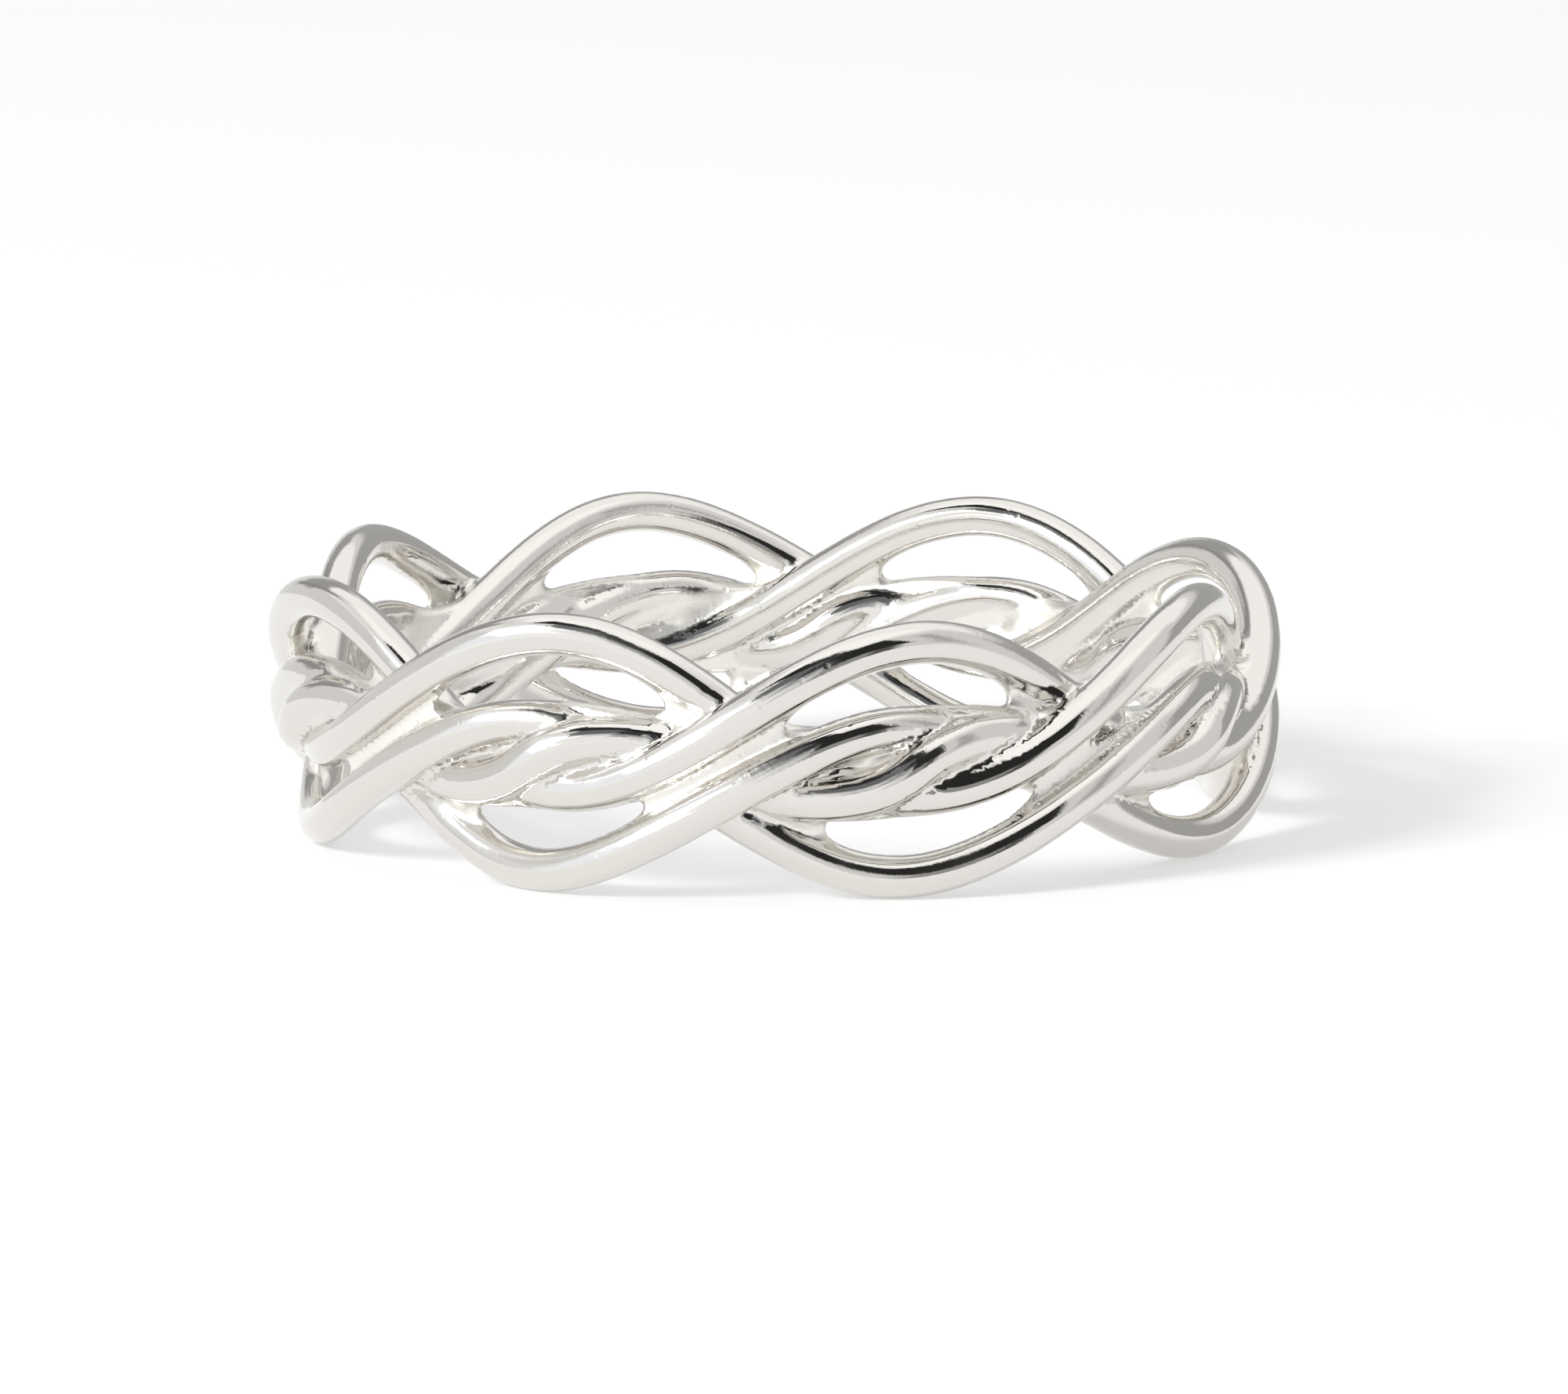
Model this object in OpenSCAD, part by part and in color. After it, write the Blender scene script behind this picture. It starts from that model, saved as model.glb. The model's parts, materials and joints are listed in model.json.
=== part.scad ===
// A cast silver finger ring whose band is an open braid of five round strands.
// It lies on its side: the ring's axis is Z, its lower edge rests on z = 0 and its front faces -Y.

/* [Ring] */
// Inner diameter of the ring, where the finger goes (mm)
finger_d = 17.3; // [14:0.1:22]
// Number of lobes along each edge of the band, an even number
lobes = 8; // [6:2:10]
// Turn of the whole braid about the ring's axis (degrees)
braid_turn = -27; // [-45:1:45]

/* [Strands] */
// Thickness of each round strand (mm)
strand_d = 0.83; // [0.7:0.01:1.1]
// How deep two strands sink into each other where they cross (mm)
crossing_bite = 0.07; // [0.04:0.01:0.2]
// Thickness of the metal that joins two strands of a pair at their crossing (mm)
joint_d = 0.66; // [0.4:0.01:0.8]

/* [Upper pair] */
// How far a strand of the upper pair swings above and below the pair's middle (mm)
upper_swing = 1.49; // [1.2:0.01:1.8]
// Height of the upper pair's middle over the middle strand (mm)
upper_rise = 0.97; // [0.7:0.01:1.2]

/* [Lower pair] */
// How far a strand of the lower pair swings above and below the pair's middle (mm)
lower_swing = 1.46; // [1.2:0.01:1.8]
// Depth of the lower pair's middle under the middle strand (mm)
lower_drop = 0.67; // [0.4:0.01:0.9]
// Lead of the lower lobes on the upper ones, in lobes
lower_lead = 0.06; // [0:0.01:0.2]

/* [Middle strand] */
// How far the middle strand swings up and down (mm)
middle_swing = 0.56; // [0.3:0.01:0.7]
// Lag of its crests behind the upper lobes, in lobes
middle_lag = 0.2; // [0:0.01:0.4]

/* [Hidden] */

// Facets: cross sections along each strand, sides of a strand, and sides of the metal at a crossing
rings = lobes * ceil(80 / lobes);
sides = 8;
joint_sides = 8;

// Radius of the band's middle line, and how far a strand weaves in and out of it
weave = (strand_d - crossing_bite) / 2;
band_r = finger_d / 2 + strand_d / 2 + weave;

// Heights of the three middles over the surface that the ring rests on
lower_z = strand_d / 2 + lower_swing;
middle_z = lower_z + lower_drop;
upper_z = middle_z + upper_rise;

// Small differences between the lobes of the casting, one row for each lobe from the front
// upper turn: shift of the upper lobe along the band, in lobes
// upper lift: how much taller the upper lobe is, in shares of upper_swing
// lower turn: shift of the lower lobe along the band, in lobes
UPPER_TURN = 0;
UPPER_LIFT = 1;
LOWER_TURN = 2;
LOBES = [
    [ 0.014,  0.05,   0.004],
    [-0.022, -0.01,  -0.015],
    [-0.034,  0.025,  0.041],
    [ 0.010, -0.08,  -0.003],
    [-0.014,  0.01,  -0.003],
    [ 0.011,  0.02,  -0.027],
    [ 0.013, -0.01,   0    ],
    [ 0.007, -0.025,  0.013]
];

// The strands, one row each
// first: lobe of its first crest; wave: lobes from crest to crest; mid and swing: heights
// lag: shift of the whole strand in lobes; fullness: how square its crests are, in lobes
FIRST = 0;
WAVE = 1;
MID = 2;
SWING = 3;
LAG = 4;
FULLNESS = 5;
STRANDS = [
    [0, 2, upper_z,  upper_swing,  0,           0    ],
    [1, 2, upper_z,  upper_swing,  0,           0    ],
    [0, 2, lower_z,  lower_swing,  -lower_lead, -0.01],
    [1, 2, lower_z,  lower_swing,  -lower_lead, -0.01],
    [0, 1, middle_z, middle_swing, middle_lag,  0.026]
];

// A column of LOBES at the place s along the band, in lobes, blended smoothly from lobe to lobe
function lobe_value(column, s) =
    let (i = floor(s), blend = (1 + cos(180 * (s - i))) / 2)
    LOBES[i % lobes % len(LOBES)][column] * blend
    + LOBES[(i + 1) % lobes % len(LOBES)][column] * (1 - blend);

function lobe_turn(strand, s) =
    strand[MID] == upper_z ? lobe_value(UPPER_TURN, s)
    : strand[MID] == lower_z ? lobe_value(LOWER_TURN, s)
    : 0;

// Only the crests of the upper pair differ in height, so every lower lobe rests on the surface
function lobe_lift(strand, s, wave_angle) =
    strand[MID] == upper_z ? upper_swing * lobe_value(UPPER_LIFT, s) * (1 + cos(wave_angle)) / 2 : 0;

// Centre of a strand at the place s: it rises in the outer layer of the band and falls in the inner one
function centre(strand, s) =
    let (
        wave_angle = 360 * (s - strand[FIRST]) / strand[WAVE],
        place = s + strand[LAG] + lobe_turn(strand, s) + strand[FULLNESS] * sin(2 * wave_angle),
        turn = braid_turn + 360 * place / lobes,
        r = band_r - weave * sin(wave_angle),
        z = strand[MID] + strand[SWING] * cos(wave_angle) + lobe_lift(strand, s, wave_angle)
    )
    [r * sin(turn), -r * cos(turn), z];

function unit(v) = v / norm(v);

// Round cross section of a strand at the place s, square to its path, with one corner outwards
function section(strand, s) =
    let (
        nudge = 0.01,
        c = centre(strand, s),
        along = unit(centre(strand, s + nudge) - centre(strand, s + lobes - nudge)),
        radial = unit([c[0], c[1], 0]),
        out = unit(radial - along * (radial * along)),
        up = cross(along, out)
    )
    [for (k = [0:sides - 1]) c + strand_d / 2 * (out * cos(360 * k / sides) + up * sin(360 * k / sides))];

// A strand's whole closed loop, as rings of points joined by triangles
module strand_loop(strand) {
    points = [for (i = [0:rings - 1]) each section(strand, i * lobes / rings)];
    faces = [
        for (i = [0:rings - 1], k = [0:sides - 1])
            let (
                a = i * sides + k,
                b = i * sides + (k + 1) % sides,
                c = (i + 1) % rings * sides + (k + 1) % sides,
                d = (i + 1) % rings * sides + k
            )
            each [[a, c, b], [a, d, c]]
    ];
    polyhedron(points = points, faces = faces, convexity = 10);
}

// The metal that fuses two strands of a pair where one crosses over the other
module crossing(over, under, s) {
    hull() {
        for (strand = [over, under]) translate(centre(strand, s)) sphere(d = joint_d, $fn = joint_sides);
    }
}

module braided_band() {
    color([0.86, 0.85, 0.84])
    union() {
        for (strand = STRANDS) strand_loop(strand);
        for (pair = [0, 2], i = [0:lobes - 1]) crossing(STRANDS[pair], STRANDS[pair + 1], i + 1 / 2);
    }
}

braided_band();
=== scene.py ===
"""Braided band ring: a one-piece casting of five round strands in polished silver, lying on a pale floor."""

import json
import math

import bpy
import numpy as np
from bpy.props import FloatProperty, FloatVectorProperty, IntProperty, PointerProperty
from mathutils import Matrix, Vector


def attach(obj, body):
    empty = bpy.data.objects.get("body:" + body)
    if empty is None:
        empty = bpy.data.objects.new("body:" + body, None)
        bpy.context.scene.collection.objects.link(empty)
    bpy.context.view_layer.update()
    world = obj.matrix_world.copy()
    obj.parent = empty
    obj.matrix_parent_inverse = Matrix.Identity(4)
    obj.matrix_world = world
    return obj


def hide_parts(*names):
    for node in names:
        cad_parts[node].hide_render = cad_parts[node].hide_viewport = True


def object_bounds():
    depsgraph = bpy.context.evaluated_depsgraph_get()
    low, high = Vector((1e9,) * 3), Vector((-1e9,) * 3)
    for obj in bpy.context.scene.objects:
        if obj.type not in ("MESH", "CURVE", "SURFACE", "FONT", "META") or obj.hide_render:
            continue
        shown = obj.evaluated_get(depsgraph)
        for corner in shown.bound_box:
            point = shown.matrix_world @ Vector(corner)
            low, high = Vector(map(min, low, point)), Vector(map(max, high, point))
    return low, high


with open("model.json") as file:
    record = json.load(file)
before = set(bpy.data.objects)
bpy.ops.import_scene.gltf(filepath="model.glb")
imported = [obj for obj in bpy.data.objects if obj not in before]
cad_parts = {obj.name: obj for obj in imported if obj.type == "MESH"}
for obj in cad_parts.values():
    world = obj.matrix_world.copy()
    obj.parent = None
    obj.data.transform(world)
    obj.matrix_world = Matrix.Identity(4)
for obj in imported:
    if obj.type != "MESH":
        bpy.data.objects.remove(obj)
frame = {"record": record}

bl_info = {
    "name": "Braided Band Ring",
    "version": (1, 0, 0),
    "blender": (4, 5, 0),
    "location": "View3D > Sidebar > Ring",
    "description": "Builds a cast silver finger ring with an open braided band",
    "category": "Add Mesh",
}

MM = 0.001
CAD_LOW, CAD_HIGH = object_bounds()
FINGER_RADIUS = frame["record"]["mounts"][0]["dims"]["r_mm"] * MM

# One row for each lobe, from the front on round the ring, as small shares that make the casting less regular
# upper_turn: shift of the upper lobe along the band, in lobes
# upper_lift: how much taller the upper lobe is, in shares of the upper swing
# lower_turn: shift of the lower lobe along the band, in lobes
LOBE_COLUMNS = ("upper_turn", "upper_lift", "lower_turn")
LOBES = (
    (0.014, 0.05, 0.004),
    (-0.022, -0.01, -0.015),
    (-0.034, 0.025, 0.041),
    (0.010, -0.08, -0.003),
    (-0.014, 0.01, -0.003),
    (0.011, 0.02, -0.027),
    (0.013, -0.01, 0.0),
    (0.007, -0.025, 0.013),
)

# Rows of the strands that swing as a pair, and of the middle strand
PAIRS = ((0, 1), (2, 3))
MIDDLE = 4
# How square the crests of the lower pair and of the middle strand are, in lobes
LOWER_FULLNESS = -0.01
MIDDLE_FULLNESS = 0.026

# The ring's sizes that shape the metal between the strands, and all that the surface's rule takes
WEB_SIZES = (
    "Fillet", "Inner face", "Inner follow", "Outer face", "Outer follow", "Layer blend", "Inner radius",
    "Outer radius", "Slit radius", "Slit face", "Pair radius", "Crack radius", "Side by side", "Seam width",
    "Waviness", "Wave length")
SURFACE_SIZES = ("Band radius", "Strand radius", *WEB_SIZES)
# Roundness of the edges of the metal between the strands, in fillets
BLUNTNESS = 2.0
# Where the webs' hollow radius leaves its inner value, in depths of the inner face from the band's middle
INNER_RADIUS_END = -0.5
# How fast metal between strands thins out where their layers come to differ
THINNING = 2.5

# Empty cells on each side of the ring in the grid that its mesh is cut from
MARGIN_CELLS = 3
# Moves of each point onto the surface, in each pass that evens out the mesh
MOVES = 2
# Step over which the surface's slope is taken
NUDGE = 0.005 * MM
# How far a rule's normal may lean from the mesh's own one, as a cosine, before the mesh's own is kept
CROOKED = 0.8

# Ranges of their patterns over which the seams turn rough and lumpy, and patches and pits set in; over the
# rough range the seams also take their warmer colour, which is partly tarnish and partly painted bounce
# light
ROUGH_RANGE = (0.6, 1.6)
LUMPY_RANGE = (0.2, 1.3)
PATCH_RANGE = (0.42, 0.66)
PIT_RANGE = (0.06, 0.16)
# Share of the grain and of the pits that well polished metal keeps
FAINT = 0.2
# Middle of the values that a noise texture gives
NOISE_MIDDLE = 0.5

# Corners of the round floor
FLOOR_CORNERS = 64
# Nearest and furthest that the camera sees, in its distance from the ring and in floor sizes
NEAR_CLIP = 0.01
FAR_CLIP = 4
# A full turn, and one radian, in degrees
TURN = 360
RADIAN = 180 / math.pi
# Places of a mixing node's share, colours and result among its sockets
MIX_SHARE = 0
MIX_COLOURS = slice(6, 8)
MIX_RESULT = 2
WHITE = (1.0, 1.0, 1.0)

# The studio's walls and cards as seen from the ring, one row each, painted in this order
# across: degrees to the right of straight in front; up: degrees over the floor
# half_width, half_height: degrees; lean: degrees across for each degree up
# edge: width of the soft edge in degrees; light: brightness; cool: share of daylight in the light
STUDIO_COLUMNS = ("across", "up", "half_width", "half_height", "lean", "edge", "light", "cool")
STUDIO = {
    "ceiling": (0, 90, 360, 33, 0, 20, 0.93, 0),
    "left upper wall": (-95, 44, 28, 6, 0, 6, 0.74, 0),
    "back panel": (165, 62, 58, 20, 0, 8, 0.85, 0),
    "back wall": (140, 14, 42, 18, 0, 8, 0.33, 0),
    "far wall": (-158, 31, 24, 12, 0, 7, 0.3, 0),
    "left back stand": (-139, 31, 5, 18, 0.85, 6, 0.25, 0),
    "right stand": (63, 26, 5, 18, 0, 8, 0.36, 0),
    "left reflector": (-25, 2, 22, 26, 0, 10, 0.82, 0),
    "window glow": (-62, 15, 18, 33, 0, 14, 0.85, 1),
    "upper shade": (-28, 47, 19, 11, 0, 8, 0.13, 1),
    "window": (-66, 34, 14, 7, -0.5, 7, 1.5, 1),
    "window foot": (-52, 21, 11, 9, -1.0, 8, 1.4, 1),
    "window side": (-36, 33, 8, 3, 0, 6, 1.1, 1),
    "camera stand": (-4, 30, 10, 10, 0, 8, 0.32, 1),
    "camera shade": (-3, 43, 9, 10, 0, 6, 0.04, 1),
    "tripod": (25, 9, 14, 15, 0, 8, 0.25, 0),
    "tripod leg": (38, 10, 5, 16, 0, 6, 0.08, 0),
    "black boom": (-40, 63, 36, 7, 0, 3, 0.02, 0),
    "black arm": (6, 52, 12, 12, -1.4, 3, 0.02, 0),
    "black flag": (25, 35, 19, 18, -0.3, 3, 0.02, 0),
}


class RingSizes(bpy.types.PropertyGroup):
    """The driving sizes of the braid."""

    lobes: IntProperty(
        name="Lobes", description="Lobes along each edge of the band, an even number",
        default=8, min=6, max=12)
    braid_turn: FloatProperty(
        name="Braid turn", description="Turn of the whole braid about the ring's axis",
        default=math.radians(-27), subtype="ANGLE")
    strand_thickness: FloatProperty(
        name="Strand thickness", description="Thickness of each round strand",
        default=0.83 * MM, unit="LENGTH")
    crossing_bite: FloatProperty(
        name="Crossing bite", description="How deep two strands sink into each other where they cross",
        default=0.07 * MM, unit="LENGTH")
    upper_swing: FloatProperty(
        name="Upper swing", description="How far an upper strand swings above and below its pair's middle",
        default=1.49 * MM, unit="LENGTH")
    upper_rise: FloatProperty(
        name="Upper rise", description="Height of the upper pair's middle over the middle strand",
        default=0.97 * MM, unit="LENGTH")
    lower_swing: FloatProperty(
        name="Lower swing", description="How far a lower strand swings above and below its pair's middle",
        default=1.46 * MM, unit="LENGTH")
    lower_drop: FloatProperty(
        name="Lower drop", description="Depth of the lower pair's middle under the middle strand",
        default=0.67 * MM, unit="LENGTH")
    lower_lead: FloatProperty(
        name="Lower lead", description="Lead of the lower lobes on the upper ones, in lobes", default=0.06)
    middle_swing: FloatProperty(
        name="Middle swing", description="How far the middle strand swings up and down",
        default=0.56 * MM, unit="LENGTH")
    middle_lag: FloatProperty(
        name="Middle lag", description="Lag of the middle strand's crests behind the upper lobes, in lobes",
        default=0.2)
    path_points: IntProperty(
        name="Path points", description="Points along the centre of each strand", default=2400, min=240)
    fillet: FloatProperty(
        name="Fillet", description="Softness of the metal where two strands run together",
        default=0.045 * MM, unit="LENGTH")
    inner_face: FloatProperty(
        name="Inner face", description="How far the webs at a crossing reach in from the band's middle",
        default=0.36 * MM, unit="LENGTH")
    inner_follow: FloatProperty(
        name="Inner follow", description="Share of the strands' weave that the webs' inner face follows",
        default=0.2, min=0.0, max=1.0, subtype="FACTOR")
    outer_face: FloatProperty(
        name="Outer face", description="How far the webs at a crossing reach out from the band's middle",
        default=0.08 * MM, unit="LENGTH")
    outer_follow: FloatProperty(
        name="Outer follow", description="Share of the strands' weave that the webs' outer face follows",
        default=0.65, min=0.0, max=1.0, subtype="FACTOR")
    layer_blend: FloatProperty(
        name="Layer blend", description="Distance in which a web passes from one strand's layer to the next",
        default=0.12 * MM, unit="LENGTH")
    inner_radius: FloatProperty(
        name="Inner radius", description="Hollow radius of the webs on the inside of the band",
        default=1.03 * MM, unit="LENGTH")
    outer_radius: FloatProperty(
        name="Outer radius", description="Hollow radius of the webs on the outside of the band",
        default=0.83 * MM, unit="LENGTH")
    slit_radius: FloatProperty(
        name="Slit radius", description="Hollow radius of the plates between upper and lower rising strands",
        default=1.2 * MM, unit="LENGTH")
    slit_face: FloatProperty(
        name="Slit face", description="How far those plates reach out from the band's middle",
        default=0.33 * MM, unit="LENGTH")
    pair_radius: FloatProperty(
        name="Pair radius", description="Hollow radius of the metal between the two strands of a pair",
        default=0.4 * MM, unit="LENGTH")
    crack_radius: FloatProperty(
        name="Crack radius", description="Hollow radius of the metal that closes cracks between neighbours",
        default=0.45 * MM, unit="LENGTH")
    side_by_side: FloatProperty(
        name="Side by side", description="How far two strands may differ in layer and count as neighbours",
        default=0.12 * MM, unit="LENGTH")
    waviness: FloatProperty(
        name="Waviness", description="Height of the low waves that the wax leaves all over",
        default=0.008 * MM, unit="LENGTH")
    wave_length: FloatProperty(
        name="Wave length", description="Length of the low waves", default=1.1 * MM, unit="LENGTH")
    seam_width: FloatProperty(
        name="Seam width", description="Reach of the rough cast metal round a seam between strands",
        default=0.09 * MM, unit="LENGTH")
    cell: FloatProperty(
        name="Cell", description="Size of the mesh's cells", default=0.11 * MM, unit="LENGTH")
    passes: IntProperty(
        name="Passes", description="Times that the mesh is evened out on the strands' surface",
        default=5, min=1)


class RingFinish(bpy.types.PropertyGroup):
    """The look of the silver."""

    silver: FloatVectorProperty(
        name="Silver", description="Colour of the polished metal",
        default=(0.751, 0.729, 0.692), subtype="COLOR", size=3, min=0.0, max=1.0)
    # Colour of the seams: partly tarnish of the unpolished metal and partly painted warm bounce light from
    # the strands round them
    seam_tarnish_and_bounce_light: FloatVectorProperty(
        name="Recess", description="Colour of the unpolished metal in the seams",
        default=(0.865, 0.845, 0.8), subtype="COLOR", size=3, min=0.0, max=1.0)
    polish: FloatProperty(
        name="Polish", description="Roughness of the polished metal",
        default=0.05, min=0.0, max=1.0, subtype="FACTOR")
    smear: FloatProperty(
        name="Smear", description="Roughness that is added where the polish is smeared",
        default=0.1, min=0.0, max=1.0, subtype="FACTOR")
    casting: FloatProperty(
        name="Casting", description="Roughness of the metal in the seams",
        default=0.36, min=0.0, max=1.0, subtype="FACTOR")
    patch_size: FloatProperty(
        name="Patch size", description="Size of the patches where the polish left more grain",
        default=1.6 * MM, unit="LENGTH")
    grain_size: FloatProperty(
        name="Grain size", description="Length of the fine ripples in the polished metal",
        default=0.13 * MM, unit="LENGTH")
    grain_height: FloatProperty(
        name="Grain height", description="Height of the fine ripples in the polished metal",
        default=0.0035 * MM, unit="LENGTH")
    lump_size: FloatProperty(
        name="Lump size", description="Size of the lumps in the seams", default=0.2 * MM, unit="LENGTH")
    lump_height: FloatProperty(
        name="Lump height", description="Height of the lumps in the seams",
        default=0.011 * MM, unit="LENGTH")
    pit_size: FloatProperty(
        name="Pit size", description="Distance between the small pits of the casting", default=0.45 * MM,
        unit="LENGTH")
    pit_depth: FloatProperty(
        name="Pit depth", description="Depth of the small pits of the casting", default=0.012 * MM,
        unit="LENGTH")


class RingStage(bpy.types.PropertyGroup):
    """The camera, the floor and the light."""

    elevation: FloatProperty(
        name="Elevation", description="Angle of the camera above the floor", default=math.radians(9.0),
        subtype="ANGLE")
    distance: FloatProperty(
        name="Distance", description="Distance from the camera to the ring's middle", default=205.8 * MM,
        unit="LENGTH")
    lens: FloatProperty(
        name="Lens", description="Focal length of the camera in millimetres", default=233.4, unit="CAMERA")
    aim_right: FloatProperty(
        name="Aim right", description="How far right of the ring's axis the camera looks", default=0.2 * MM,
        unit="LENGTH")
    aim_height: FloatProperty(
        name="Aim height", description="Height over the floor at which the camera looks", default=2.5 * MM,
        unit="LENGTH")
    floor_size: FloatProperty(
        name="Floor size", description="Radius of the round floor", default=1.5, unit="LENGTH")
    floor_colour: FloatVectorProperty(
        name="Floor colour", description="Colour of the floor", default=(0.377, 0.377, 0.377),
        subtype="COLOR", size=3, min=0.0, max=1.0)
    floor_glow: FloatProperty(
        name="Floor glow", description="Light that the floor, a light table, gives by itself", default=0.52)
    wall_light: FloatProperty(name="Wall light", description="Brightness of the studio's walls", default=0.6)
    daylight: FloatVectorProperty(
        name="Daylight", description="Colour of the light that comes through the window",
        default=(0.95, 0.99, 1.04), subtype="COLOR", size=3, min=0.0, soft_max=1.1)
    room_light: FloatProperty(
        name="Room light", description="Strength of all the light that comes from the walls and cards",
        default=1.328)
    lamp_across: FloatProperty(
        name="Lamp across", description="Direction of the lamp, to the right of straight in front",
        default=math.radians(-52), subtype="ANGLE")
    lamp_up: FloatProperty(
        name="Lamp up", description="Direction of the lamp over the floor", default=math.radians(33),
        subtype="ANGLE")
    lamp_distance: FloatProperty(
        name="Lamp distance", description="Distance of the lamp from the ring", default=0.6, unit="LENGTH")
    lamp_size: FloatProperty(
        name="Lamp size", description="Width of the square lamp", default=0.16, unit="LENGTH")
    lamp_power: FloatProperty(
        name="Lamp power", description="Power of the lamp in watts", default=3.9, unit="POWER")


class Field:
    """A value in a node tree, so that a rule reads as a sum."""

    kind = "ShaderNodeMath"

    def __init__(self, tree, socket):
        self.tree = tree
        self.socket = socket

    def calculate(self, operation, *others):
        """A node that works out an operation on this value and the others."""
        node = self.tree.nodes.new(self.kind)
        node.operation = operation
        for socket, value in zip(node.inputs, (self, *others)):
            feed(self.tree, socket, value)
        return node

    def number(self, operation, *others):
        return Field(self.tree, self.calculate(operation, *others).outputs[0])

    def __add__(self, other):
        return self.number("ADD", other)

    def __sub__(self, other):
        return self.number("SUBTRACT", other)

    def __mul__(self, other):
        return self.number("MULTIPLY", other)

    def __truediv__(self, other):
        return self.number("DIVIDE", other)

    def __neg__(self):
        return self.number("MULTIPLY", -1.0)

    def sin(self):
        return self.number("SINE")

    def cos(self):
        return self.number("COSINE")

    def exp(self):
        return self.number("EXPONENT")

    def floor(self):
        return self.number("FLOOR")

    def modulo(self, other):
        return self.number("FLOORED_MODULO", other)

    def least(self, other):
        return self.number("MINIMUM", other)

    def most(self, other):
        return self.number("MAXIMUM", other)

    def under(self, bare, cover):
        """This value where the bare share is one, and the cover's where it is zero."""
        return self * bare + (bare * -1.0 + 1.0) * cover

    def ramp(self, low, high):
        """Zero up to the low value, one from the high value on, and a smooth step between them."""
        step = add(
            self.tree, "ShaderNodeMapRange", {"Value": self, "From Min": low, "From Max": high},
            interpolation_type="SMOOTHSTEP")
        return Field(self.tree, step.outputs["Result"])


class VectorField(Field):
    """A vector value in a node tree."""

    kind = "ShaderNodeVectorMath"

    def vector(self, operation, *others):
        return VectorField(self.tree, self.calculate(operation, *others).outputs["Vector"])

    def __add__(self, other):
        return self.vector("ADD", other)

    def __sub__(self, other):
        return self.vector("SUBTRACT", other)

    def scale(self, factor):
        node = self.calculate("SCALE")
        feed(self.tree, node.inputs["Scale"], factor)
        return VectorField(self.tree, node.outputs["Vector"])

    def unit(self):
        return self.vector("NORMALIZE")


def feed(tree, socket, value):
    """Links a field or a socket to an input, or sets the input to a plain value."""
    if isinstance(value, Field):
        value = value.socket
    if isinstance(value, bpy.types.NodeSocket):
        tree.links.new(value, socket)
    else:
        socket.default_value = value


def add(tree, kind, inputs=None, **settings):
    """Adds a node with its settings, then feeds its inputs, which are given by name."""
    node = tree.nodes.new(kind)
    for name, value in settings.items():
        setattr(node, name, value)
    for name, value in (inputs or {}).items():
        feed(tree, node.inputs[name], value)
    return node


def new_group(name, inputs, outputs):
    """A geometry node group with named sockets, its input fields by name, and its output node."""
    group = bpy.data.node_groups.new(name, "GeometryNodeTree")
    for socket_name, kind in inputs:
        group.interface.new_socket(name=socket_name, in_out="INPUT", socket_type="NodeSocket" + kind)
    for socket_name, kind in outputs:
        group.interface.new_socket(name=socket_name, in_out="OUTPUT", socket_type="NodeSocket" + kind)
    source = group.nodes.new("NodeGroupInput")
    given = {}
    for socket_name, kind in inputs:
        field = VectorField if kind == "Vector" else Field
        given[socket_name] = field(group, source.outputs[socket_name])
    return group, given, group.nodes.new("NodeGroupOutput")


def attribute(tree, name, data_type="FLOAT"):
    """A value that is kept on the geometry under a name."""
    node = add(tree, "GeometryNodeInputNamedAttribute", {"Name": name}, data_type=data_type)
    return Field(tree, node.outputs["Attribute"])


def store(tree, geometry, name, value, data_type="FLOAT"):
    """The geometry with a value kept on it under a name."""
    node = add(
        tree, "GeometryNodeStoreNamedAttribute", {"Geometry": geometry, "Name": name, "Value": value},
        data_type=data_type)
    return node.outputs[0]


def mixed_colour(tree, share, colours):
    """A colour that passes from the first of two to the second as the share goes from zero to one."""
    node = add(tree, "ShaderNodeMix", data_type="RGBA")
    feed(tree, node.inputs[MIX_SHARE], share)
    for socket, colour in zip(node.inputs[MIX_COLOURS], colours):
        socket.default_value = (*colour, 1.0)
    return node.outputs[MIX_RESULT]


def lobe_value(tree, lobe_points, column, place):
    """A column of the lobe table at a place along the band, blended smoothly from lobe to lobe."""
    lobe = place.floor()
    blend = ((place - lobe) * math.pi).cos() * 0.5 + 0.5
    values = []
    for step in (0, 1):
        index = (lobe + step).modulo(len(LOBES))
        sample = add(
            tree, "GeometryNodeSampleIndex", {"Geometry": lobe_points, "Value": column, "Index": index})
        values.append(Field(tree, sample.outputs["Value"]))
    return values[0].under(blend, values[1])


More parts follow.
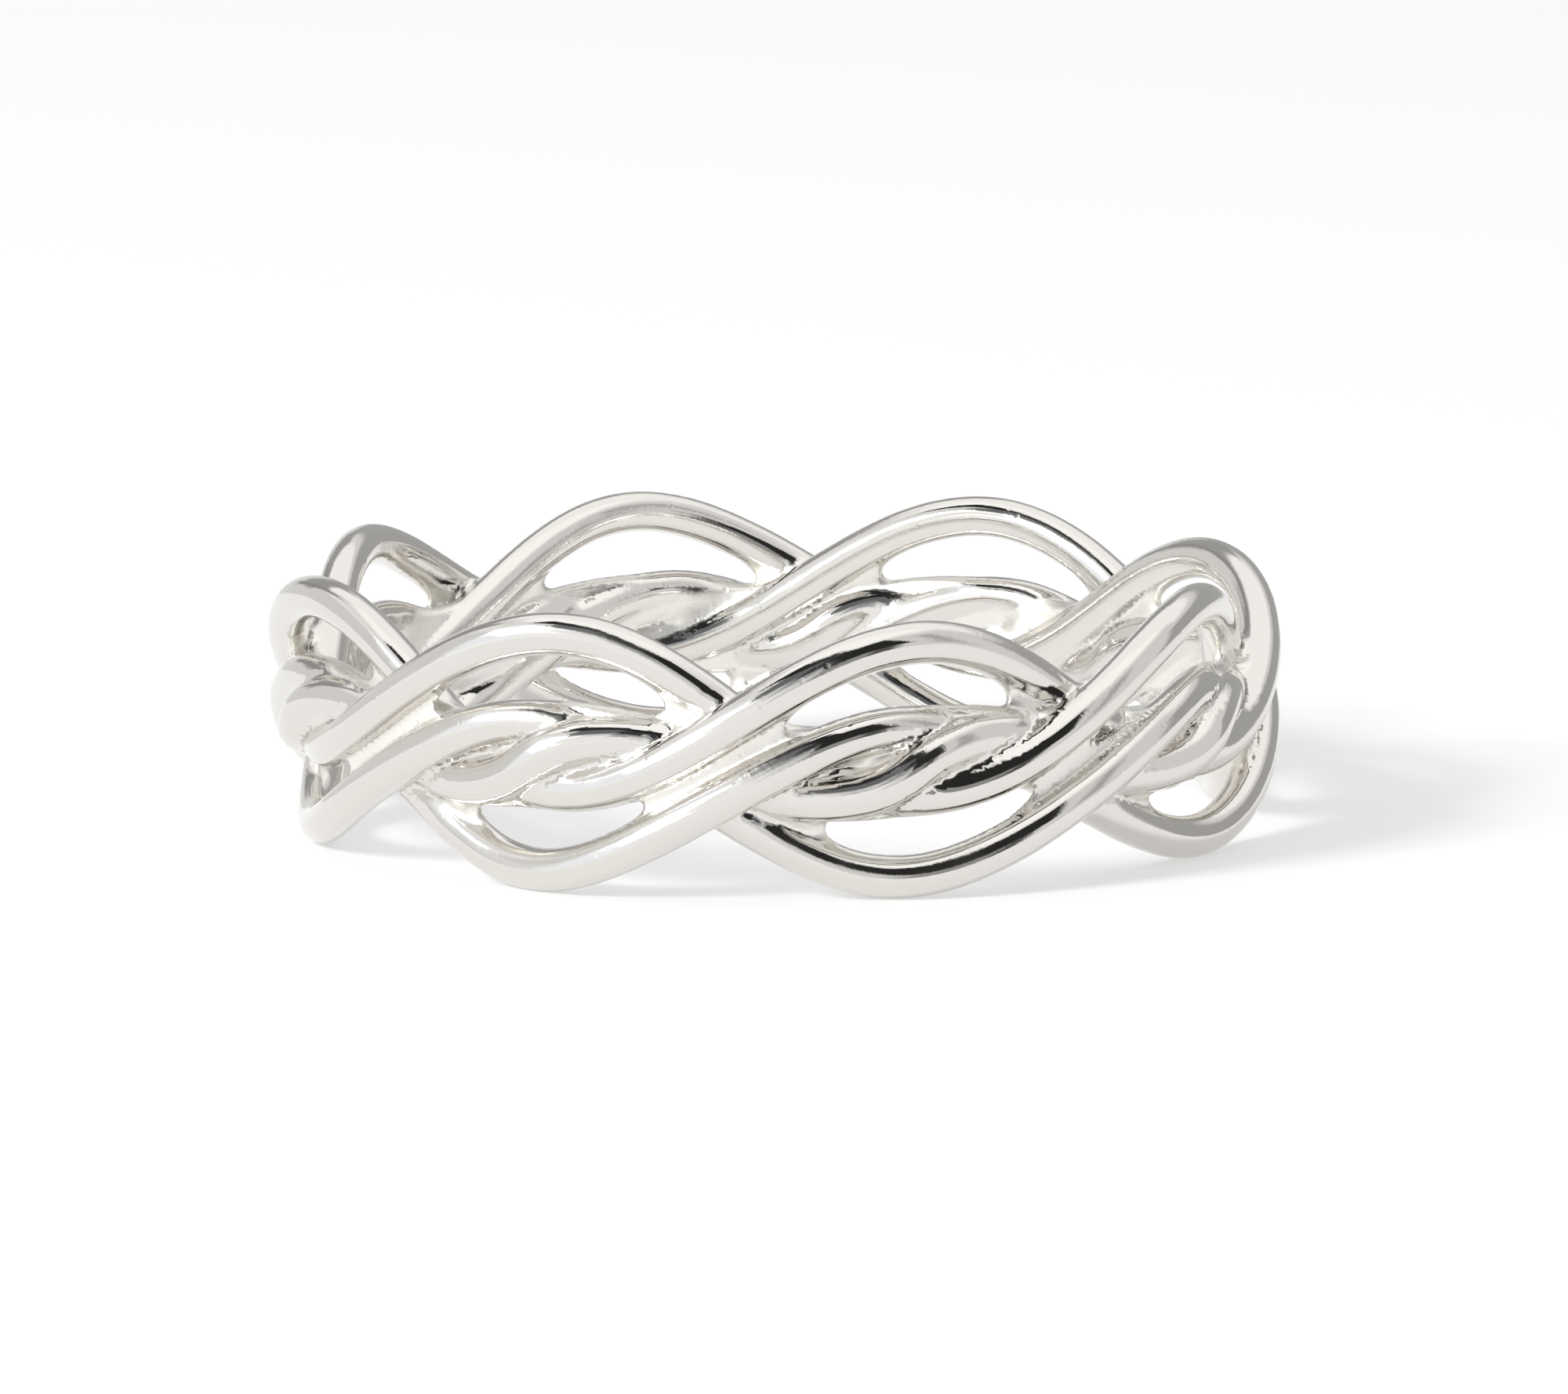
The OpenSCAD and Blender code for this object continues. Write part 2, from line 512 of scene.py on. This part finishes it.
def strand_path_group():
    """The centre line of one strand: it rises in the outer layer of the band and falls in the inner one."""
    inputs = [
        ("Lobe points", "Geometry"), ("Points", "Int"), ("Lobes", "Int"), ("Braid turn", "Float"),
        ("Band radius", "Float"), ("Weave", "Float"), ("First crest", "Float"), ("Lobes in a wave", "Float"),
        ("Middle height", "Float"), ("Swing", "Float"), ("Lag", "Float"), ("Fullness", "Float"),
        ("Lobe shift", "Float"), ("Lobe lift", "Float"),
    ]
    tree, given, out = new_group("Strand path", inputs, [("Path", "Geometry")])
    index = Field(tree, tree.nodes.new("GeometryNodeInputIndex").outputs[0])
    place = index * given["Lobes"] / given["Points"]
    wave = (place - given["First crest"]) / given["Lobes in a wave"] * math.tau
    shift = lobe_value(tree, given["Lobe points"], given["Lobe shift"], place)
    lift = lobe_value(tree, given["Lobe points"], given["Lobe lift"], place) * given["Swing"]
    along = place + given["Lag"] + shift + (wave * 2.0).sin() * given["Fullness"]
    turn = along / given["Lobes"] * math.tau + given["Braid turn"]
    radius = given["Band radius"] - wave.sin() * given["Weave"]
    height = given["Middle height"] + wave.cos() * given["Swing"] + (wave.cos() + 1.0) * 0.5 * lift
    centre = add(
        tree, "ShaderNodeCombineXYZ",
        {"X": turn.sin() * radius, "Y": -(turn.cos() * radius), "Z": height})
    circle = add(tree, "GeometryNodeCurvePrimitiveCircle", {"Resolution": given["Points"]})
    path = add(
        tree, "GeometryNodeSetPosition",
        {"Geometry": circle.outputs["Curve"], "Position": centre.outputs[0]})
    line = add(tree, "GeometryNodeCurveToMesh", {"Curve": path.outputs[0]})
    feed(tree, out.inputs["Path"], line.outputs[0])
    return tree


def off_middle(place, band_radius):
    """How far a place lies outside the band's middle."""
    flat = place.vector("MULTIPLY", (1.0, 1.0, 0.0))
    return Field(place.tree, flat.calculate("LENGTH").outputs["Value"]) - band_radius


def strand_heights(tree, given, count):
    """How high the place lies over each strand, and in which layer that strand runs there."""
    strand = attribute(tree, "strand", "INT")
    heights, layers = [], []
    for number in range(count):
        near = add(
            tree, "GeometryNodeProximity",
            {"Geometry": given["Paths"], "Group ID": strand, "Sample Group ID": number,
             "Sample Position": given["Place"]}, target_element="EDGES")
        heights.append(Field(tree, near.outputs["Distance"]) - given["Strand radius"])
        layers.append(off_middle(VectorField(tree, near.outputs["Position"]), given["Band radius"]))
    return heights, layers


def two_least(heights):
    """The heights over the nearest strand and over the second nearest."""
    nearest, second = heights[0].least(heights[1]), heights[0].most(heights[1])
    for height in heights[2:]:
        second = second.least(nearest.most(height))
        nearest = nearest.least(height)
    return nearest, second


def near_mean(shares, values):
    """The mean of one value for each strand, in which near strands count most."""
    total, weight = shares[0] * values[0], shares[0]
    for share, value in zip(shares[1:], values[1:]):
        total, weight = total + share * value, weight + share
    return total / weight


def hollow(first, other, radius, blunt):
    """Height over a hollow fillet of the given radius between two strands, kept off a lone strand."""
    short, far = (radius - first).most(0.0), (radius - other).most(0.0)
    return radius - (short * short + far * far).number("SQRT") + blunt


def crossing_webs(given, heights, layer, outwards, blunt):
    """Height over the webs in the corners of the crossings, cut off at an inner and an outer face."""
    outer = outwards.ramp(given["Inner face"] * INNER_RADIUS_END, 0.0)
    radius = given["Inner radius"] + (given["Outer radius"] - given["Inner radius"]) * outer
    upper, lower = (heights[row].least(heights[mate]) for row, mate in PAIRS)
    nearer = upper.least(lower)
    other = upper.most(lower).least(nearer.most(heights[MIDDLE]))
    web = hollow(nearer.least(heights[MIDDLE]), other, radius, blunt)
    for row, mate in PAIRS:
        web = web.least(hollow(heights[row], heights[mate], given["Pair radius"], blunt))
    over_face = outwards - layer * given["Outer follow"] - given["Outer face"]
    under_face = layer * given["Inner follow"] - given["Inner face"] - outwards
    return web.number("SMOOTH_MAX", over_face, blunt).number("SMOOTH_MAX", under_face, blunt)


def slit_plates(given, heights, layers, outwards, blunt):
    """Height over the plates in the outer layer, between an upper and a lower strand that both rise."""
    rising = [
        height + (given["Slit face"] - layer).most(0.0) * THINNING
        for height, layer in zip(heights, layers)]
    upper, lower = (rising[row].least(rising[mate]) for row, mate in PAIRS)
    plate = hollow(upper, lower, given["Slit radius"], blunt)
    return plate.number("SMOOTH_MAX", outwards - given["Slit face"], blunt).most(-outwards)


def fused(nearest, web, heights, fillet):
    """Height over the strands and the metal between them, which run together softly."""
    lowest = nearest.least(web)
    total = ((lowest - web) / fillet).exp()
    for height in heights:
        total = total + ((lowest - height) / fillet).exp()
    return lowest - total.number("LOGARITHM", math.e) * fillet


def wax_waves(tree, given):
    """Height of the low waves that the wax leaves all over."""
    stretched = given["Place"].scale(given["Wave length"].number("POWER", -1.0))
    waves = add(tree, "ShaderNodeTexNoise", {"Vector": stretched, "Scale": 1.0, "Detail": 1.0})
    return (Field(tree, waves.outputs[0]) - NOISE_MIDDLE) / NOISE_MIDDLE * given["Waviness"]


def casting_surface_group(count):
    """How high a place lies over the fused strands, and how near it is to a seam between them."""
    inputs = [("Paths", "Geometry"), ("Place", "Vector")] + [(name, "Float") for name in SURFACE_SIZES]
    tree, given, out = new_group("Casting surface", inputs, [("Height", "Float"), ("Seam", "Float")])
    heights, layers = strand_heights(tree, given, count)
    nearest, second = two_least(heights)
    shares = [((nearest - height) / given["Layer blend"]).exp() for height in heights]
    layer = near_mean(shares, layers)
    apart = [strand_layer - layer for strand_layer in layers]
    spread = near_mean(shares, [offset * offset for offset in apart]).number("SQRT")
    outwards = off_middle(given["Place"], given["Band radius"])
    blunt = given["Fillet"] * BLUNTNESS

    web = crossing_webs(given, heights, layer, outwards, blunt)
    web = web.least(slit_plates(given, heights, layers, outwards, blunt))
    seam = ((nearest - second.least(web)) / given["Seam width"]).exp()

    # Closed cracks come last, so that they don't count as seams
    crack = hollow(nearest, second, given["Crack radius"], blunt)
    crack = crack + (spread - given["Side by side"]).most(0.0) * THINNING
    web = web.least(crack)
    height = fused(nearest, web, heights, given["Fillet"]) - wax_waves(tree, given)
    feed(tree, out.inputs["Height"], height)
    feed(tree, out.inputs["Seam"], seam)
    return tree


def braid_rows(sizes):
    """The five strands, one row each, with the columns of the lobe table that they follow."""
    lower_height = sizes.strand_thickness / 2 + sizes.lower_swing
    middle_height = lower_height + sizes.lower_drop
    upper_height = middle_height + sizes.upper_rise
    upper = {
        "Middle height": upper_height, "Swing": sizes.upper_swing, "Lobe shift": "upper_turn",
        "Lobe lift": "upper_lift",
    }
    lower = {
        "Middle height": lower_height, "Swing": sizes.lower_swing, "Lobe shift": "lower_turn",
        "Lag": -sizes.lower_lead, "Fullness": LOWER_FULLNESS,
    }
    middle = {
        "Middle height": middle_height, "Swing": sizes.middle_swing, "Lag": sizes.middle_lag,
        "Fullness": MIDDLE_FULLNESS, "First crest": 0, "Lobes in a wave": 1.0,
    }
    rows = []
    for pair in (upper, lower):
        rows += [{"First crest": first, "Lobes in a wave": 2.0, **pair} for first in (0, 1)]
    return rows + [middle]


def strand_paths(tree, given, rows):
    """The centre lines of all the strands, each point marked with its strand's number."""
    shared = ("Lobe points", "Points", "Lobes", "Braid turn", "Band radius", "Weave")
    path_group = strand_path_group()
    paths = tree.nodes.new("GeometryNodeJoinGeometry")
    for number, row in enumerate(rows):
        path = add(tree, "GeometryNodeGroup", {name: given[name] for name in shared}, node_tree=path_group)
        for name, value in row.items():
            feed(tree, path.inputs[name], attribute(tree, value) if isinstance(value, str) else value)
        marked = store(tree, path.outputs["Path"], "strand", number, "INT")
        tree.links.new(marked, paths.inputs[0])
    return paths.outputs[0]


def first_skin(tree, given, height):
    """The surface where the height is zero, in rough cells and without small loose bubbles."""
    spans = add(tree, "ShaderNodeSeparateXYZ", {"Vector": given["High corner"] - given["Low corner"]})
    inside = add(
        tree, "GeometryNodeVolumeCube",
        {"Density": -height, "Background": -1.0, "Min": given["Low corner"], "Max": given["High corner"]})
    for axis in "XYZ":
        feed(tree, inside.inputs["Resolution " + axis], Field(tree, spans.outputs[axis]) / given["Cell"])
    skin = add(tree, "GeometryNodeVolumeToMesh", {"Volume": inside.outputs[0], "Threshold": 0.0})
    island = tree.nodes.new("GeometryNodeInputMeshIsland")
    points = add(
        tree, "GeometryNodeAccumulateField", {"Value": 1, "Group Index": island.outputs["Island Index"]},
        data_type="INT")
    bubble = Field(tree, points.outputs["Total"]).number("LESS_THAN", given["Points"])
    skin = add(tree, "GeometryNodeDeleteGeometry", {"Geometry": skin.outputs[0], "Selection": bubble})
    return skin.outputs[0]


def evened_skin(tree, given, skin, place, height):
    """The skin with its points spread evenly and moved onto the surface, pass by pass."""
    start = add(tree, "GeometryNodeRepeatInput", {"Iterations": given["Passes"]})
    end = tree.nodes.new("GeometryNodeRepeatOutput")
    start.pair_with_output(end)
    feed(tree, start.inputs["Geometry"], skin)
    facing = VectorField(tree, tree.nodes.new("GeometryNodeInputNormal").outputs[0])
    even = add(tree, "GeometryNodeBlurAttribute", {"Value": place}, data_type="FLOAT_VECTOR")
    step = add(
        tree, "GeometryNodeSetPosition",
        {"Geometry": start.outputs["Geometry"], "Position": even.outputs[0]})
    for _ in range(MOVES):
        step = add(
            tree, "GeometryNodeSetPosition", {"Geometry": step.outputs[0], "Offset": facing.scale(-height)})
    feed(tree, end.inputs["Geometry"], step.outputs[0])
    return end.outputs["Geometry"]


def braided_band_group(rows):
    """Sweeps the strands along their paths and fuses them into one casting."""
    inputs = [
        ("Lobe points", "Geometry"), ("Points", "Int"), ("Lobes", "Int"), ("Braid turn", "Float"),
        ("Weave", "Float"), ("Cell", "Float"), ("Passes", "Int"), ("Low corner", "Vector"),
        ("High corner", "Vector"), ("Material", "Material"),
    ]
    inputs += [(name, "Float") for name in SURFACE_SIZES]
    tree, given, out = new_group("Braided band", inputs, [("Casting", "Geometry")])
    paths = strand_paths(tree, given, rows)
    casting_surface = casting_surface_group(len(rows))
    place = VectorField(tree, tree.nodes.new("GeometryNodeInputPosition").outputs[0])

    def surface_at(spot):
        """The height of a spot over the casting, and how near it is to a seam."""
        taken = {name: given[name] for name in SURFACE_SIZES}
        surface = add(
            tree, "GeometryNodeGroup", {"Paths": paths, "Place": spot, **taken}, node_tree=casting_surface)
        return Field(tree, surface.outputs["Height"]), Field(tree, surface.outputs["Seam"])

    height, seam = surface_at(place)
    skin = evened_skin(tree, given, first_skin(tree, given, height), place, height)

    slopes = []
    for axis in range(3):
        nudge = [0.0, 0.0, 0.0]
        nudge[axis] = NUDGE
        slopes.append(surface_at(place + nudge)[0] - height)
    slope = add(tree, "ShaderNodeCombineXYZ", dict(zip("XYZ", slopes)))
    outwards = VectorField(tree, slope.outputs[0]).unit()

    skin = store(tree, skin, "outwards", outwards, "FLOAT_VECTOR")
    skin = store(tree, skin, "seam", seam)
    smooth = add(tree, "GeometryNodeSetShadeSmooth", {"Geometry": skin})
    real = add(tree, "GeometryNodeRealizeInstances", {"Geometry": smooth.outputs[0]})
    silver = add(
        tree, "GeometryNodeSetMaterial", {"Geometry": real.outputs[0], "Material": given["Material"]})
    feed(tree, out.inputs["Casting"], silver.outputs[0])
    return tree


def lobe_points_object():
    """One point for each lobe, holding its row of the lobe table."""
    mesh = bpy.data.meshes.new("braided_band_lobes")
    mesh.vertices.add(len(LOBES))
    for column, name in enumerate(LOBE_COLUMNS):
        layer = mesh.attributes.new(name, "FLOAT", "POINT")
        layer.data.foreach_set("value", [row[column] for row in LOBES])
    lobe_points = bpy.data.objects.new("braided_band_lobes", mesh)
    bpy.context.collection.objects.link(lobe_points)
    return lobe_points


def run_tree(source, tree, values):
    """The plain mesh that a geometry node tree makes on an object, which is then removed."""
    modifier = source.modifiers.new(tree.name, "NODES")
    modifier.node_group = tree
    for item in tree.interface.items_tree:
        if item.in_out == "INPUT" and item.name in values:
            modifier[item.identifier] = values[item.name]
    graph = bpy.context.evaluated_depsgraph_get()
    mesh = bpy.data.meshes.new_from_object(source.evaluated_get(graph))
    source.modifiers.remove(modifier)
    bpy.data.objects.remove(source)
    return mesh


def point_vectors(points):
    """The vectors of a mesh's points, one row each."""
    rows = np.zeros(3 * len(points))
    points.foreach_get("vector", rows)
    return rows.reshape(-1, 3)


def braided_band_mesh(sizes, material):
    """The whole casting as one closed mesh, with normals from the rule of its surface."""
    strand_radius = sizes.strand_thickness / 2
    weave = (sizes.strand_thickness - sizes.crossing_bite) / 2
    margin = Vector((MARGIN_CELLS * sizes.cell,) * 3)
    names = ("Lobes", "Braid turn", "Cell", "Passes", *WEB_SIZES)
    values = {name: getattr(sizes, name.lower().replace(" ", "_")) for name in names}
    values.update({
        "Points": sizes.path_points, "Band radius": FINGER_RADIUS + strand_radius + weave, "Weave": weave,
        "Strand radius": strand_radius, "Low corner": CAD_LOW - margin, "High corner": CAD_HIGH + margin,
        "Material": material,
    })
    mesh = run_tree(lobe_points_object(), braided_band_group(braid_rows(sizes)), values)
    outwards = point_vectors(mesh.attributes["outwards"].data)
    facing = point_vectors(mesh.vertex_normals)
    crooked = (outwards * facing).sum(axis=1) < CROOKED
    outwards[crooked] = facing[crooked]
    mesh.normals_split_custom_set_from_vertices(outwards)
    mesh.attributes.remove(mesh.attributes["outwards"])
    mesh.name = "braided_band_casting"
    return mesh


def polished_silver(finish):
    """Polished cast silver: faint grain and pits, and duller, lumpy metal in the seams, whose warmer,
    lighter colour is partly tarnish of the cast metal and partly painted warm bounce light.
    """
    material = bpy.data.materials.new("polished_silver")
    material.use_nodes = True
    tree = material.node_tree
    shader = tree.nodes["Principled BSDF"]
    shader.inputs["Metallic"].default_value = 1.0
    place = tree.nodes.new("ShaderNodeTexCoord").outputs["Object"]

    def noise(size, detail=2.0):
        """Noise whose patches have the given size."""
        texture = add(tree, "ShaderNodeTexNoise", {"Vector": place, "Scale": 1.0 / size, "Detail": detail})
        return Field(tree, texture.outputs[0])

    seam = Field(tree, add(tree, "ShaderNodeAttribute", attribute_name="seam").outputs["Fac"])
    lumps = noise(finish.lump_size, detail=4.0)
    rough_seam_and_bounce = (seam + lumps - NOISE_MIDDLE).ramp(*ROUGH_RANGE)
    lumpy = (seam + lumps - NOISE_MIDDLE).ramp(*LUMPY_RANGE)
    patches = noise(finish.patch_size).ramp(*PATCH_RANGE)
    pits = add(tree, "ShaderNodeTexVoronoi", {"Vector": place, "Scale": 1.0 / finish.pit_size})
    pits = Field(tree, pits.outputs["Distance"]).ramp(*PIT_RANGE) - 1.0

    # The seams' warmer, lighter colour is partly tarnish of the cast metal and partly painted warm bounce
    # light
    feed(tree, shader.inputs["Base Color"], mixed_colour(tree, rough_seam_and_bounce, (finish.silver, finish.seam_tarnish_and_bounce_light)))
    dullness = patches * finish.smear + rough_seam_and_bounce * (finish.casting - finish.polish) + finish.polish
    feed(tree, shader.inputs["Roughness"], dullness)

    grain = noise(finish.grain_size) - NOISE_MIDDLE
    height = grain * (patches * (1 - FAINT) + FAINT) * finish.grain_height
    height = height + (lumps - NOISE_MIDDLE) * lumpy * finish.lump_height
    height = height + pits * (rough_seam_and_bounce * (1 - FAINT) + FAINT) * finish.pit_depth
    bump = add(tree, "ShaderNodeBump", {"Height": height, "Distance": 1.0})
    feed(tree, shader.inputs["Normal"], bump.outputs["Normal"])
    return material


class RING_OT_braided_band(bpy.types.Operator):
    """Makes the braided band, cast in one piece"""

    bl_idname = "ring.braided_band"
    bl_label = "Braided band"

    def execute(self, context):
        mesh = braided_band_mesh(context.scene.ring_sizes, polished_silver(context.scene.ring_finish))
        band = bpy.data.objects.new("braided_band_casting", mesh)
        context.collection.objects.link(band)
        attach(band, "root")
        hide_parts("braided_band")
        return {"FINISHED"}


def make_camera(stage):
    """The camera at the photographed angle."""
    data = bpy.data.cameras.new("camera")
    data.lens = stage.lens
    camera = bpy.data.objects.new("camera", data)
    back = Vector((0.0, -math.cos(stage.elevation), math.sin(stage.elevation)))
    camera.location = Vector((stage.aim_right, 0.0, stage.aim_height)) + back * stage.distance
    camera.rotation_euler = (math.pi / 2 - stage.elevation, 0.0, 0.0)
    data.clip_start = stage.distance * NEAR_CLIP
    data.clip_end = stage.floor_size * FAR_CLIP
    bpy.context.collection.objects.link(camera)
    bpy.context.scene.camera = camera


def make_floor(stage):
    """A plain pale floor."""
    mesh = bpy.data.meshes.new("floor")
    turns = [math.tau * corner / FLOOR_CORNERS for corner in range(FLOOR_CORNERS)]
    edge = [(stage.floor_size * math.cos(turn), stage.floor_size * math.sin(turn), 0.0) for turn in turns]
    mesh.from_pydata(edge, [], [tuple(range(FLOOR_CORNERS))])
    material = bpy.data.materials.new("pale_floor")
    material.use_nodes = True
    shader = material.node_tree.nodes["Principled BSDF"]
    shader.inputs["Base Color"].default_value = (*stage.floor_colour, 1.0)
    shader.inputs["Specular IOR Level"].default_value = 0.0
    shader.inputs["Emission Color"].default_value = (*WHITE, 1.0)
    shader.inputs["Emission Strength"].default_value = stage.floor_glow
    mesh.materials.append(material)
    floor = bpy.data.objects.new("floor", mesh)
    bpy.context.collection.objects.link(floor)


def make_lamp(stage):
    """The square lamp that throws the shadow."""
    data = bpy.data.lights.new("lamp", "AREA")
    data.size = stage.lamp_size
    data.energy = stage.lamp_power
    lamp = bpy.data.objects.new("lamp", data)
    level = math.cos(stage.lamp_up) * stage.lamp_distance
    lamp.location = (
        math.sin(stage.lamp_across) * level, -math.cos(stage.lamp_across) * level,
        math.sin(stage.lamp_up) * stage.lamp_distance)
    lamp.rotation_euler = lamp.location.to_track_quat("Z", "Y").to_euler()
    bpy.context.collection.objects.link(lamp)


def make_room(stage):
    """The studio round the ring: pale walls with brighter and darker cards in front of them."""
    world = bpy.data.worlds.new("studio")
    world.use_nodes = True
    tree = world.node_tree
    sight = add(
        tree, "ShaderNodeSeparateXYZ", {"Vector": tree.nodes.new("ShaderNodeTexCoord").outputs["Generated"]})
    right, back, up = (Field(tree, sight.outputs[axis]) for axis in "XYZ")
    across = right.number("ARCTAN2", -back) * RADIAN
    height = up.number("ARCSINE") * RADIAN
    light = Field(tree, tree.nodes.new("ShaderNodeValue").outputs[0])
    light.socket.default_value = stage.wall_light
    cool = light * 0.0
    for values in STUDIO.values():
        card = dict(zip(STUDIO_COLUMNS, values))
        over = height - card["up"]
        beside = (across - over * card["lean"] - card["across"] + TURN / 2).modulo(TURN) - TURN / 2
        soft = card["edge"] / 2
        bare = beside.number("ABSOLUTE").ramp(card["half_width"] - soft, card["half_width"] + soft)
        level = over.number("ABSOLUTE").ramp(card["half_height"] - soft, card["half_height"] + soft)
        bare = bare.most(level)
        light = light.under(bare, card["light"])
        cool = cool.under(bare, card["cool"])
    shader = tree.nodes["Background"]
    feed(tree, shader.inputs["Color"], mixed_colour(tree, cool, (WHITE, stage.daylight)))
    feed(tree, shader.inputs["Strength"], light * stage.room_light)
    bpy.context.scene.world = world


class RING_OT_stage(bpy.types.Operator):
    """Makes the floor, the studio light and the camera"""

    bl_idname = "ring.stage"
    bl_label = "Stage"

    def execute(self, context):
        stage = context.scene.ring_stage
        make_camera(stage)
        make_floor(stage)
        make_room(stage)
        make_lamp(stage)
        context.scene.view_settings.view_transform = "Standard"
        return {"FINISHED"}


class RING_PT_panel(bpy.types.Panel):
    """Lists the ring's sizes and the steps that make it"""

    bl_idname = "RING_PT_panel"
    bl_label = "Braided Band Ring"
    bl_space_type = "VIEW_3D"
    bl_region_type = "UI"
    bl_category = "Ring"

    def draw(self, context):
        for group in (context.scene.ring_sizes, context.scene.ring_finish, context.scene.ring_stage):
            box = self.layout.box()
            for name in group.bl_rna.properties.keys():
                if name not in ("rna_type", "name"):
                    box.prop(group, name)
        for step in STEPS:
            self.layout.operator(step.bl_idname)


STEPS = (RING_OT_braided_band, RING_OT_stage)
GROUPS = {"ring_sizes": RingSizes, "ring_finish": RingFinish, "ring_stage": RingStage}


def register():
    for kind in (*GROUPS.values(), *STEPS, RING_PT_panel):
        bpy.utils.register_class(kind)
    for name, kind in GROUPS.items():
        setattr(bpy.types.Scene, name, PointerProperty(type=kind))


def unregister():
    for name in GROUPS:
        delattr(bpy.types.Scene, name)
    for kind in (RING_PT_panel, *reversed(STEPS), *reversed(GROUPS.values())):
        bpy.utils.unregister_class(kind)


def main():
    register()
    bpy.ops.ring.braided_band()
    bpy.ops.ring.stage()


if __name__ == "__main__":
    main()
